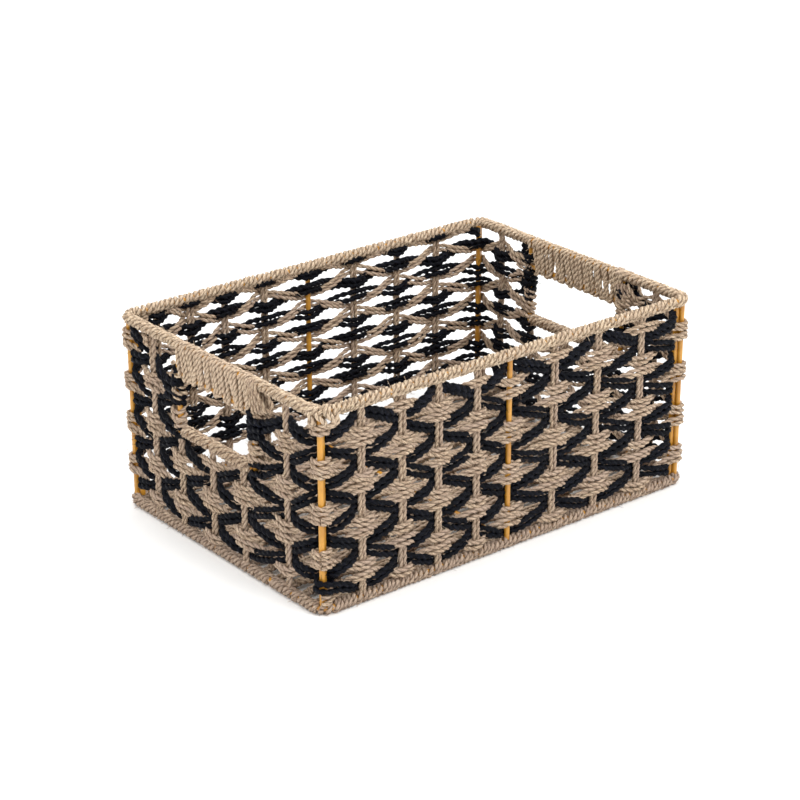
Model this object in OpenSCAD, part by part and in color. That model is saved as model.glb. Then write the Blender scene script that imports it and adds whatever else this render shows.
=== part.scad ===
// Wire-framed storage basket, twined from natural and black seagrass cord.
// X runs along the long walls, Y along the short walls and Z points up.
// The origin is on the floor, under the middle of the basket.

/* [Frame] */
// Distance between the rim wires of the two short walls
frame_length = 320; // [240:1:400]
// Distance between the rim wires of the two long walls
frame_width = 219; // [180:1:300]
// Height of the top rim wire
rim_z = 139.5; // [130:0.5:150]
// Bend radius of the rims in the four upright corners
corner_r = 8; // [6:0.5:12]
// Diameter of the painted wire
wire_d = 3.8; // [3:0.1:4.2]
// Place along X of the long walls' middle posts
mid_post_x = -4; // [-15:1:15]

/* [Handles] */
// Places along Y of the left handle's two posts
left_posts = [-41, 44]; // [-60:0.5:60]
// Places along Y of the right handle's two posts
right_posts = [-46, 51]; // [-60:0.5:60]
// Height of the sill wire under each hand opening
sill_z = 78; // [74:0.5:82]
// Distance from the rim wire down to the lower wire of the grip
grip_drop = 20.2; // [15:0.1:24]

/* [Wrapping] */
// Thickness of a rim with its cord wound on
wrap_d = 8.8; // [8:0.1:9.6]
// Thickness of a sill with its cord wound on
sill_wrap_d = 9.6; // [8:0.1:10]
// How far the bottom rim's wrapping is pressed flat by standing on it
foot_flat = 0.4; // [0.2:0.1:0.8]

/* [Warp cords] */
// Places along X of the front wall's upright cords
front_warps = [-127.5, -94.5, -64.5, -32, 36, 75.5, 116.5]; // [-150:0.5:150]
// Places along X of the back wall's upright cords
back_warps = [-134, -106, -77, -43, 37.5, 78, 116]; // [-150:0.5:150]
// Places along Y of the left wall's upright cords, from front to back
left_warps = [-75, -27.5, 7.5, 44, 75]; // [-100:0.5:100]
// Places along Y of the right wall's upright cords, from front to back
right_warps = [-79, -26, 12, 50.5, 84]; // [-100:0.5:100]
// Width of an upright, which is two cords side by side
warp_w = 5.6; // [4:0.1:6.4]
// Thickness of an upright
warp_t = 2.4; // [2:0.1:2.6]

/* [Weave] */
// Height from one twined course to the next
course_pitch = 15.6; // [15.4:0.1:16]
// Height of the pair of cords of one colour
pair_h = 6.8; // [5:0.1:6.9]
// Thickness of the pair of cords of one colour
pair_t = 3; // [2:0.1:3.2]
// How far a pair swings above and below the middle of its course
swing = 4.2; // [3.9:0.1:4.2]
// How far the left wall's courses sag at its back end
left_end_sag = 8; // [3:0.1:9]
// How far the left wall's courses sag at its middle
left_mid_sag = 15.6; // [8:0.1:15.8]
// How far the courses sag along the back wall
back_sag = 3; // [0:0.1:4]

/* [Hidden] */
$fn = 48;
bottom_z = wrap_d / 2 - foot_flat;
wire_r = wire_d / 2;
grip_z = rim_z - grip_drop;
rim_top = rim_z - wrap_d / 2;
foot_top = bottom_z + wrap_d / 2;
// Distance from the wall's middle to the pair that passes outside or inside an upright
out_n = 3.7;
// The same between uprights, where the two colours have changed sides
mid_n = 1.9;
// The two wires of a corner stand side by side along the long wall
twin_dx = 3.1;
twin_dy = 2.3;
// Height of the floor weave's middle, and half its length and width
floor_z = 5.3;
floor_half_x = 154.5;
floor_half_y = 104.5;
// The floor's rows lie close together and pass over and under its uprights
floor_rows = 28;
floor_pitch = 7.2;
floor_n = 3.4;
SIDE_LEN = [frame_length, frame_width, frame_length, frame_width];

// Colours of the three materials.
module wire_paint() {
    color("goldenrod") children();
}

module natural_cord() {
    color("tan") children();
}

module black_cord() {
    color("#20222c") children();
}

// Sides are numbered 0 front, 1 right, 2 back, 3 left, so a quarter turn leads to the next.
// In a side's own frame X runs along the wall from corner to corner and Y points inwards.
module on_side(side) {
    corner = [
        [-frame_length / 2, -frame_width / 2], [frame_length / 2, -frame_width / 2],
        [frame_length / 2, frame_width / 2], [-frame_length / 2, frame_width / 2]
    ];
    translate(corner[side]) rotate([0, 0, 90 * side]) children();
}

// The straight part of a side, with the profile standing in the plane across it.
module straight(from, to) {
    translate([from, 0, 0]) rotate([90, 0, 90]) linear_extrude(height = to - from) children();
}

// The quarter bend that follows a side's end; the profile's X points out of the basket.
module bend(side) {
    on_side(side)
        translate([SIDE_LEN[side] - corner_r, corner_r, 0])
            rotate([0, 0, -90])
                rotate_extrude(angle = 90) translate([corner_r, 0]) children();
}

// One side of a rim: the straight run and the bend after it.
module rim_side(side) {
    on_side(side)
        straight(corner_r, SIDE_LEN[side] - corner_r) mirror([1, 0]) children();
    bend(side) children();
}

module disc(z, r) {
    translate([0, z]) circle(r);
}

module ring(z, outer_r) {
    difference() {
        disc(z, outer_r);
        disc(z, wire_r);
    }
}

// A bar that runs along Y at one end of the basket, with the given profile.
module cross_bar(x, from, to) {
    translate([x, from, 0]) rotate([90, 0, 180])
        linear_extrude(height = to - from) children();
}

// Wires of the frame -------------------------------------------------------------------

module top_rim_wire() {
    wire_paint() for (side = [0:3]) rim_side(side) disc(rim_z, wire_r);
}

module bottom_rim_wire() {
    wire_paint() for (side = [0:3]) rim_side(side) disc(bottom_z, wire_r);
}

module post(x, y, from, to) {
    translate([x, y, from]) cylinder(d = wire_d, h = to - from);
}

// Two posts side by side, the first in the middle of the rim's bend.
module corner_wires(x_sign, y_sign) {
    inset = corner_r * (1 - cos(45));
    x = frame_length / 2 - inset;
    y = frame_width / 2 - inset;
    wire_paint() {
        post(x_sign * x, y_sign * y, bottom_z + wire_r, rim_z - wire_r);
        post(x_sign * (x - twin_dx), y_sign * (y - twin_dy), bottom_z + wire_r, rim_z - wire_r);
    }
}

module corner_wires_front_left() {
    corner_wires(-1, -1);
}

module corner_wires_front_right() {
    corner_wires(1, -1);
}

module corner_wires_back_right() {
    corner_wires(1, 1);
}

module corner_wires_back_left() {
    corner_wires(-1, 1);
}

module mid_post(y_sign) {
    wire_paint()
        post(mid_post_x, y_sign * frame_width / 2, bottom_z + wire_r, rim_z - wire_r);
}

module mid_post_front() {
    mid_post(-1);
}

module mid_post_back() {
    mid_post(1);
}

module handle_post(x_sign, y) {
    wire_paint()
        post(x_sign * frame_length / 2, y, sill_z - wire_r, rim_z - wire_r);
}

module handle_post_left_front() {
    handle_post(-1, left_posts[0]);
}

module handle_post_left_back() {
    handle_post(-1, left_posts[1]);
}

module handle_post_right_front() {
    handle_post(1, right_posts[0]);
}

module handle_post_right_back() {
    handle_post(1, right_posts[1]);
}

// Everything of a handle that lies between its two posts.
module between_posts(x_sign, posts) {
    cross_bar(x_sign * frame_length / 2, posts[0] + wire_r, posts[1] - wire_r) children();
}

module grip_wire_left() {
    wire_paint() between_posts(-1, left_posts) disc(grip_z, wire_r);
}

module grip_wire_right() {
    wire_paint() between_posts(1, right_posts) disc(grip_z, wire_r);
}

module sill_wire_left() {
    wire_paint() between_posts(-1, left_posts) disc(sill_z, wire_r);
}

module sill_wire_right() {
    wire_paint() between_posts(1, right_posts) disc(sill_z, wire_r);
}

// The wire under the floor joins the feet of the two middle posts.
module floor_wire() {
    reach = frame_width / 2 - wire_r;
    wire_paint() cross_bar(mid_post_x, -reach, reach) disc(floor_z, wire_r);
}

// Cord wound on the wires --------------------------------------------------------------

module post_holes() {
    for (x_sign = [-1, 1], y_sign = [-1, 1]) corner_wires(x_sign, y_sign);
    for (y_sign = [-1, 1]) mid_post(y_sign);
}

// The top rim's wrapping runs round one long wall, from one handle to the other.
module top_rim_wrap(side, stubs) {
    difference() {
        union() {
            rim_side(side) ring(rim_z, wrap_d / 2);
            bend((side + 3) % 4) ring(rim_z, wrap_d / 2);
            on_side((side + 1) % 4)
                straight(corner_r, stubs[0]) mirror([1, 0]) ring(rim_z, wrap_d / 2);
            on_side((side + 3) % 4)
                straight(frame_width - stubs[1], frame_width - corner_r)
                    mirror([1, 0]) ring(rim_z, wrap_d / 2);
        }
        post_holes();
        for (y = left_posts) handle_post(-1, y);
        for (y = right_posts) handle_post(1, y);
    }
}

module top_rim_wrap_front() {
    half = frame_width / 2;
    natural_cord() top_rim_wrap(0, [half + right_posts[0], half + left_posts[0]]);
}

module top_rim_wrap_back() {
    half = frame_width / 2;
    natural_cord() top_rim_wrap(2, [half - left_posts[1], half - right_posts[1]]);
}

module bottom_rim_wrap() {
    natural_cord() difference() {
        for (side = [0:3]) rim_side(side) intersection() {
            ring(bottom_z, wrap_d / 2);
            translate([-wrap_d, 0]) square([2 * wrap_d, 2 * wrap_d]);
        }
        post_holes();
        floor_wire();
    }
}

// The grip's cord goes round the rim wire and the lower wire together.
module grip_profile() {
    difference() {
        union() {
            disc(rim_z, wrap_d / 2);
            disc(grip_z, wrap_d / 2);
            translate([-wrap_d / 2, grip_z]) square([wrap_d, grip_drop]);
        }
        disc(rim_z, wire_r);
        disc(grip_z, wire_r);
    }
}

module grip_wrap_left() {
    natural_cord() between_posts(-1, left_posts) grip_profile();
}

module grip_wrap_right() {
    natural_cord() between_posts(1, right_posts) grip_profile();
}

module sill_wrap_left() {
    natural_cord() between_posts(-1, left_posts) ring(sill_z, sill_wrap_d / 2);
}

module sill_wrap_right() {
    natural_cord() between_posts(1, right_posts) ring(sill_z, sill_wrap_d / 2);
}

// Upright cords ------------------------------------------------------------------------

module warp_profile() {
    flat_w = warp_w - warp_t;
    square([flat_w, warp_t], center = true);
    for (x_sign = [-1, 1]) translate([x_sign * flat_w / 2, 0]) circle(d = warp_t);
}

module warp(side, along, to) {
    on_side(side) translate([along, 0, foot_top])
        linear_extrude(height = to - foot_top) warp_profile();
}

// Tops of a short wall's uprights: the three under the sill are short.
function warp_top(i) = i == 0 || i == 4 ? rim_top : sill_z - sill_wrap_d / 2;

module warps_front() {
    natural_cord() for (x = front_warps) warp(0, x + frame_length / 2, rim_top);
}

module warps_back() {
    natural_cord() for (x = back_warps) warp(2, frame_length / 2 - x, rim_top);
}

module warps_left() {
    natural_cord() for (i = [0:4]) warp(3, frame_width / 2 - left_warps[i], warp_top(i));
}

module warps_right() {
    natural_cord() for (i = [0:4]) warp(1, frame_width / 2 + right_warps[i], warp_top(i));
}

// Twined courses -----------------------------------------------------------------------
// A course is a natural pair and a black pair of cords. At an upright the natural pair
// passes outside and the black pair inside; between uprights they change sides, and one
// swings up while the other swings down. Uprights are counted round the basket from the
// front left corner, and the swing changes over from each to the next.

// Sag of a side's courses, u of the way along it
function sag(side, u) =
    side == 0 ? 0
    : side == 1 ? back_sag * u
    : side == 2 ? back_sag + (left_end_sag - back_sag) * pow(u, 6)
    : left_end_sag * 2 * (u - 0.5) * (u - 1) + left_mid_sag * 4 * u * (1 - u);

function course_z(side, t, k) = course_pitch * (k + 1) - sag(side, t / SIDE_LEN[side]);

// +1 where the natural pair of course k swings up at upright i, and -1 where it swings down
function turn(i, k) = (i + k) % 2 == 1 ? 1 : -1;

// Stations of a pair: [distance along the wall, change of sides 1 to -0.5, swing 1 to -1]
function stations(stops, first, k) = [
    for (j = [0:len(stops) - 1])
        let (
            t = stops[j],
            way = turn(first + j, k),
            last = j == len(stops) - 1,
            gap = last ? 0 : stops[j + 1] - t,
            from_corner = t == 0,
            to_corner = !last && is_end(stops, j + 1)
        )
        each concat(
            !from_corner && is_end(stops, j) ? [[t - corner_r, 1, way]] : [],
            [[t, 1, way]],
            from_corner ? [[corner_r, 1, way]] : [],
            last ? [] : [
                [t + gap * (from_corner ? 0.45 : 0.35), -0.5, way * 0.9],
                [t + gap * (to_corner ? 0.55 : 0.65), -0.5, -way * 0.9]
            ]
        )
];

// An upright is a corner when it lies at the end of a side
function is_end(stops, j) = stops[j] == frame_length || stops[j] == frame_width;

// A point of a wall: t along it, n out of it, z up, with half of each corner bend
function wall_point(side, t, n, z) =
    let (
        length = SIDE_LEN[side],
        diagonal = corner_r - (corner_r + n) * cos(45)
    )
    t <= 0 ? [diagonal, diagonal, z]
    : t >= length ? [length - diagonal, diagonal, z]
    : [t, -n, z];

// A closed tube of square section through the corners given for each station
module tube_through(sections) {
    rings = len(sections);
    polyhedron(
        points = [for (section = sections) each section],
        faces = concat(
            [[3, 2, 1], [3, 1, 0]],
            [
                for (i = [0:rings - 2], e = [0:3])
                    let (a = 4 * i + e, b = 4 * i + (e + 1) % 4)
                    each [[a, b, b + 4], [a, b + 4, a + 4]]
            ],
            [let (m = 4 * rings - 4) [m, m + 1, m + 2], let (m = 4 * rings - 4) [m, m + 2, m + 3]]
        )
    );
}

// The four corners of a pair's section, with the larger side upright
function box_corners(n, z) = [
    [n - pair_t / 2, z - pair_h / 2], [n + pair_t / 2, z - pair_h / 2],
    [n + pair_t / 2, z + pair_h / 2], [n - pair_t / 2, z + pair_h / 2]
];

// One pair of a wall. Colour is 1 for natural, -1 for black
module wall_pair(side, stops, first, k, colour) {
    on_side(side) tube_through([
        for (s = stations(stops, first, k))
            let (
                n = colour * (s[1] == 1 ? out_n : -mid_n),
                z = course_z(side, s[0], k) + colour * s[2] * swing
            )
            [for (c = box_corners(n, z)) wall_point(side, s[0], c[0], c[1])]
    ]);
}

module wall_weave(side, stops, first, courses, colour) {
    for (k = courses) wall_pair(side, stops, first, k, colour);
}

function from_left(places) = [for (x = places) x + frame_length / 2];
function from_front(places) = [for (y = places) y + frame_width / 2];
function turned(places, length) = [for (i = [len(places) - 1:-1:0]) length - places[i]];

front_stops = concat(
    [0],
    from_left([for (i = [0:3]) front_warps[i]]),
    from_left([mid_post_x]),
    from_left([for (i = [4:6]) front_warps[i]]),
    [frame_length]
);
back_stops = turned(concat(
    [0],
    from_left([for (i = [0:3]) back_warps[i]]),
    from_left([mid_post_x]),
    from_left([for (i = [4:6]) back_warps[i]]),
    [frame_length]
), frame_length);
right_stops = concat([0], from_front(right_warps), [frame_width]);
left_stops = turned(concat([0], from_front(left_warps), [frame_width]), frame_width);
right_front_stops = [0, right_stops[1], right_posts[0] + frame_width / 2];
right_back_stops = [right_posts[1] + frame_width / 2, right_stops[5], frame_width];
left_back_stops = [0, left_stops[1], frame_width / 2 - left_posts[1]];
left_front_stops = [frame_width / 2 - left_posts[0], left_stops[5], frame_width];

module weave_front(colour) {
    wall_weave(0, front_stops, 0, [0:7], colour);
}

module weave_right_low(colour) {
    wall_weave(1, right_stops, 9, [1:3], colour);
}

module weave_right_front(colour) {
    wall_weave(1, right_front_stops, 9, [4:7], colour);
}

module weave_right_back(colour) {
    wall_weave(1, right_back_stops, 13, [4:7], colour);
}

module weave_back(colour) {
    wall_weave(2, back_stops, 15, [1:7], colour);
}

module weave_left_low(colour) {
    wall_weave(3, left_stops, 24, [1:4], colour);
}

module weave_left_back(colour) {
    wall_weave(3, left_back_stops, 24, [5:7], colour);
}

module weave_left_front(colour) {
    wall_weave(3, left_front_stops, 28, [5:7], colour);
}

module natural_weave_front() {
    natural_cord() weave_front(1);
}

module natural_weave_back() {
    natural_cord() weave_back(1);
}

module natural_weave_left_low() {
    natural_cord() weave_left_low(1);
}

module natural_weave_left_front() {
    natural_cord() weave_left_front(1);
}

module natural_weave_left_back() {
    natural_cord() weave_left_back(1);
}

module natural_weave_right_low() {
    natural_cord() weave_right_low(1);
}

module natural_weave_right_front() {
    natural_cord() weave_right_front(1);
}

module natural_weave_right_back() {
    natural_cord() weave_right_back(1);
}

module black_weave_front() {
    black_cord() weave_front(-1);
}

module black_weave_back() {
    black_cord() weave_back(-1);
}

module black_weave_left_low() {
    black_cord() weave_left_low(-1);
}

module black_weave_left_front() {
    black_cord() weave_left_front(-1);
}

module black_weave_left_back() {
    black_cord() weave_left_back(-1);
}

module black_weave_right_low() {
    black_cord() weave_right_low(-1);
}

module black_weave_right_front() {
    black_cord() weave_right_front(-1);
}

module black_weave_right_back() {
    black_cord() weave_right_back(-1);
}

// Floor --------------------------------------------------------------------------------
// The floor is a close plain weave of natural cord; its uprights lie along Y.

floor_stops = concat(
    [-floor_half_x],
    [for (i = [0:3]) front_warps[i]],
    [mid_post_x],
    [for (i = [4:6]) front_warps[i]],
    [floor_half_x]
);

module floor_warps() {
    natural_cord() for (x = front_warps)
        translate([x, -floor_half_y, floor_z]) rotate([-90, 0, 0])
            linear_extrude(height = 2 * floor_half_y) warp_profile();
}

module floor_row(row) {
    y = (row - (floor_rows - 1) / 2) * floor_pitch;
    tube_through([
        for (j = [0:len(floor_stops) - 1])
            [for (c = box_corners(floor_n * turn(j, row), y)) [floor_stops[j], c[1], floor_z - c[0]]]
    ]);
}

module floor_weave() {
    natural_cord() for (row = [0:floor_rows - 1]) floor_row(row);
}

// Nodes --------------------------------------------------------------------------------

top_rim_wire();
bottom_rim_wire();
corner_wires_front_left();
corner_wires_front_right();
corner_wires_back_right();
corner_wires_back_left();
mid_post_front();
mid_post_back();
handle_post_left_front();
handle_post_left_back();
handle_post_right_front();
handle_post_right_back();
grip_wire_left();
grip_wire_right();
sill_wire_left();
sill_wire_right();
floor_wire();
top_rim_wrap_front();
top_rim_wrap_back();
bottom_rim_wrap();
grip_wrap_left();
grip_wrap_right();
sill_wrap_left();
sill_wrap_right();
warps_front();
warps_back();
warps_left();
warps_right();
natural_weave_front();
natural_weave_back();
natural_weave_left_low();
natural_weave_left_front();
natural_weave_left_back();
natural_weave_right_low();
natural_weave_right_front();
natural_weave_right_back();
black_weave_front();
black_weave_back();
black_weave_left_low();
black_weave_left_front();
black_weave_left_back();
black_weave_right_low();
black_weave_right_front();
black_weave_right_back();
floor_warps();
floor_weave();
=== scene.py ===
"""Looks of an open storage basket: a painted wire frame twined with seagrass cord.

Every cord is a path laid round the basket's walls, rims, grips or floor, and one
Geometry Nodes tree spins each path into a two-ply twisted cord.
"""

import logging
import math
from dataclasses import dataclass, field
from enum import Enum

import bpy
import numpy as np
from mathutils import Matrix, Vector


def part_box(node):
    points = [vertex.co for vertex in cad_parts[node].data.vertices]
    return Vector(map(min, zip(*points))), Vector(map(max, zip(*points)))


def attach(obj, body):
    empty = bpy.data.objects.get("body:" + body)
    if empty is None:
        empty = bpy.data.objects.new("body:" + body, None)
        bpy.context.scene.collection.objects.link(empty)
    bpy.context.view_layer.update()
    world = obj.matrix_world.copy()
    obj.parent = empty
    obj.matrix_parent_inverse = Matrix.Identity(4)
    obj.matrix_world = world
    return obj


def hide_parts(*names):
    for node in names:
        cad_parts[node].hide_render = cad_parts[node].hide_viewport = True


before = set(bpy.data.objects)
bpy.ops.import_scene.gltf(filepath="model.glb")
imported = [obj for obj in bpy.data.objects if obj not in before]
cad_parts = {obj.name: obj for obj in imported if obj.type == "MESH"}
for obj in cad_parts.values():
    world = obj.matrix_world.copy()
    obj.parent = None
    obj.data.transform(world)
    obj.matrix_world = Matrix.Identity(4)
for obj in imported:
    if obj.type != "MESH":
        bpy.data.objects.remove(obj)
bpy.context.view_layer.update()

log = logging.getLogger("basket")

MM = 0.001
TAU = 2 * math.pi
MATH = "ShaderNodeMath"


# Sizes of the frame, in millimetres -----------------------------------------------------


def box_mm(node: str) -> tuple[np.ndarray, np.ndarray]:
    """Lowest and highest corner of a CAD node.

    Args:
        node: Name of the CAD node.

    Returns:
        The two corners, in millimetres.
    """
    low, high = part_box(node)
    return np.array(low) / MM, np.array(high) / MM


def middle(node: str) -> np.ndarray:
    """Middle of a CAD node's box, in millimetres."""
    low, high = box_mm(node)
    return (low + high) / 2


class Side(Enum):
    """The four walls, in the order in which the courses pass them."""

    FRONT = 0
    RIGHT = 1
    BACK = 2
    LEFT = 3


@dataclass
class WireFrame:
    """Places of the wires that all cords follow, read from the CAD nodes."""

    corner_radius: float = 8.0
    wire_radius: float = field(init=False)
    half_length: float = field(init=False)
    half_width: float = field(init=False)
    rim_height: float = field(init=False)
    foot_height: float = field(init=False)
    sill_height: float = field(init=False)
    grip_height: float = field(init=False)
    middle_post: float = field(init=False)
    posts: dict[Side, tuple[float, ...]] = field(init=False)

    def __post_init__(self) -> None:
        """Reads each size from the node that has it."""
        low, high = box_mm("top_rim_wire")
        self.wire_radius = (high[2] - low[2]) / 2
        self.half_length = high[0] - self.wire_radius
        self.half_width = high[1] - self.wire_radius
        self.rim_height = (low[2] + high[2]) / 2
        self.foot_height = middle("bottom_rim_wire")[2]
        self.sill_height = middle("sill_wire_left")[2]
        self.grip_height = middle("grip_wire_left")[2]
        self.middle_post = middle("mid_post_front")[0]
        self.posts = {
            side: tuple(middle(f"handle_post_{side.name.lower()}_{end}")[1]
                        for end in ("front", "back"))
            for side in (Side.LEFT, Side.RIGHT)}

    def side_length(self, side: Side) -> float:
        """Length of a wall between the corners of its centre line."""
        return 2 * (self.half_width if side.value % 2 else self.half_length)

    @property
    def half_arc(self) -> float:
        """Length of half a corner bend."""
        return math.pi / 4 * self.corner_radius

    def side_start(self, side: Side) -> float:
        """Distance round the basket at which a wall starts, in the middle of a bend."""
        before = [s for s in Side if s.value < side.value]
        return sum(self.side_run(s) for s in before)

    def side_run(self, side: Side) -> float:
        """Length of a wall's centre line with half a bend at each end."""
        return self.side_length(side) - 2 * self.corner_radius + 2 * self.half_arc

    def along(self, side: Side, place: float) -> float:
        """Distance of an x or y on a wall from the sharp corner where the wall starts."""
        forwards = side in (Side.FRONT, Side.RIGHT)
        return self.side_length(side) / 2 + (place if forwards else -place)

    def post_distance(self, side: Side, end: int) -> float:
        """Distance round the basket of a handle post: 0 is the front one, 1 the back one."""
        return self.distance(side, self.along(side, self.posts[side][end]))

    @property
    def round_length(self) -> float:
        """Length of the whole way round the basket."""
        return sum(self.side_run(side) for side in Side)

    def distance(self, side: Side, along: float) -> float:
        """Distance round the basket of a place on a wall.

        Args:
            side: The wall.
            along: Place along the wall, from the sharp corner at its start.

        Returns:
            Distance from the middle of the front left bend.
        """
        radius, length = self.corner_radius, self.side_length(side)
        start = self.side_start(side)
        if along < radius:
            return start + along / radius * self.half_arc
        if along > length - radius:
            spare = (length - along) / radius * self.half_arc
            return start + self.side_run(side) - spare
        return start + self.half_arc + along - radius

    def place(self, distance: np.ndarray, out: np.ndarray, height: np.ndarray) -> np.ndarray:
        """Points in space of places on the walls.

        Args:
            distance: Distances round the basket.
            out: Distances outwards from the walls' centre line.
            height: Heights above the floor.

        Returns:
            An array of points, in millimetres.
        """
        radius = self.corner_radius
        distance = np.mod(distance, self.round_length)
        # A remainder of a tiny negative distance rounds up to the full length.
        distance = np.where(distance < self.round_length, distance, 0.0)
        out = np.broadcast_to(out, distance.shape)
        x, y = np.zeros_like(distance), np.zeros_like(distance)
        corners = [(-1, -1), (1, -1), (1, 1), (-1, 1)]
        ways = [(1, 0), (0, 1), (-1, 0), (0, -1)]
        for side, corner, way in zip(Side, corners, ways):
            start, run = self.side_start(side), self.side_run(side)
            here = (distance >= start) & (distance < start + run)
            q = distance[here] - start
            straight = run - 2 * self.half_arc
            into = np.minimum(q - self.half_arc, 0)
            past = np.maximum(q - self.half_arc - straight, 0)
            angle = (into + past) / radius
            base = radius + np.clip(q - self.half_arc, 0, straight)
            reach = radius + out[here]
            local_x = base + reach * np.sin(angle)
            local_y = radius - reach * np.cos(angle)
            inwards = (-way[1], way[0])
            x[here] = corner[0] * self.half_length + local_x * way[0] + local_y * inwards[0]
            y[here] = corner[1] * self.half_width + local_x * way[1] + local_y * inwards[1]
        return np.column_stack([x, y, np.broadcast_to(height, distance.shape)])


# Mesh and node helpers --------------------------------------------------------------------


def linear(code: str) -> tuple[float, float, float, float]:
    """Turns an sRGB hex colour into linear light.

    Args:
        code: Colour such as "#c4a98a".

    Returns:
        Linear red, green, blue and an alpha of 1.
    """
    parts = [int(code[i:i + 2], 16) / 255 for i in (1, 3, 5)]
    lit = [c / 12.92 if c <= 0.04045 else ((c + 0.055) / 1.055) ** 2.4 for c in parts]
    return (*lit, 1.0)


def add_node(tree: bpy.types.NodeTree, kind: str, settings: dict | None = None,
             links: dict | None = None) -> bpy.types.Node:
    """Adds a node with its settings and links.

    Args:
        tree: The node tree to add to.
        kind: Blender's name for the node type.
        settings: Node properties by name, and socket values by name or index.
        links: What feeds each input, by the input's name or index: an output socket, or
            a node for its first output.

    Returns:
        The new node.
    """
    node = tree.nodes.new(kind)
    for key, value in (settings or {}).items():
        if isinstance(key, str) and hasattr(node, key):
            setattr(node, key, value)
        else:
            node.inputs[key].default_value = value
    for key, source in (links or {}).items():
        source = source.outputs[0] if isinstance(source, bpy.types.Node) else source
        tree.links.new(source, node.inputs[key])
    return node


@dataclass
class Strand:
    """One cord's path, in millimetres, and how thick it is against its tree's radius."""

    points: np.ndarray
    thickness: float = 1.0


def wire_object(name: str, strands: list[Strand], rng: np.random.Generator) -> bpy.types.Object:
    """Makes an object of bare edges from paths, with each strand's tint and thickness.

    Args:
        name: Name of the piece.
        strands: The paths.
        rng: Source of each strand's tint.

    Returns:
        An object whose mesh has only vertices and edges.
    """
    points = np.concatenate([strand.points for strand in strands]) * MM
    edges, tint, thick, start = [], [], [], 0
    for strand in strands:
        count = len(strand.points)
        run = np.arange(start, start + count - 1)
        edges.append(np.column_stack([run, run + 1]))
        tint.append(np.full(count, rng.random()))
        thick.append(np.full(count, strand.thickness))
        start += count
    mesh = bpy.data.meshes.new(name)
    mesh.from_pydata(points.tolist(), np.concatenate(edges).tolist(), [])
    for label, values in (("tint", tint), ("thick", thick)):
        layer = mesh.attributes.new(label, "FLOAT", "POINT")
        layer.data.foreach_set("value", np.concatenate(values).astype(np.float32))
    obj = bpy.data.objects.new(name, mesh)
    bpy.context.scene.collection.objects.link(obj)
    return obj


def apply_trees(obj: bpy.types.Object,
                trees: list[tuple[bpy.types.NodeTree, dict]]) -> bpy.types.Object:
    """Runs Geometry Nodes trees on an object and keeps the result as its plain mesh.

    Args:
        obj: The object to work on.
        trees: Each tree with the values of its named inputs.

    Returns:
        The same object, with a plain mesh and no modifiers.
    """
    for tree, values in trees:
        modifier = obj.modifiers.new(tree.name, "NODES")
        modifier.node_group = tree
        sockets = {s.name: s.identifier for s in tree.interface.items_tree
                   if s.item_type == "SOCKET" and s.in_out == "INPUT"}
        for name, value in values.items():
            modifier[sockets[name]] = value
    bpy.context.view_layer.update()
    evaluated = obj.evaluated_get(bpy.context.evaluated_depsgraph_get())
    plain = bpy.data.meshes.new_from_object(evaluated)
    obj.modifiers.clear()
    obj.data = plain
    return obj


# Geometry Nodes ---------------------------------------------------------------------------


def new_tree(name: str, inputs: tuple) -> tuple[bpy.types.NodeTree, object]:
    """Starts a tree that takes geometry, named values and a material, and gives geometry.

    Args:
        name: Name of the tree.
        inputs: Name, kind and default value of each input between the two.

    Returns:
        The tree, and the sockets that carry its inputs.
    """
    tree = bpy.data.node_groups.new(name, "GeometryNodeTree")
    face = tree.interface
    for label, kind, value in (("Geometry", "Geometry", None), *inputs,
                               ("Material", "Material", None)):
        socket = face.new_socket(label, in_out="INPUT", socket_type=f"NodeSocket{kind}")
        if value is not None:
            socket.default_value = value
    face.new_socket("Geometry", in_out="OUTPUT", socket_type="NodeSocketGeometry")
    return tree, add_node(tree, "NodeGroupInput").outputs


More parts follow.
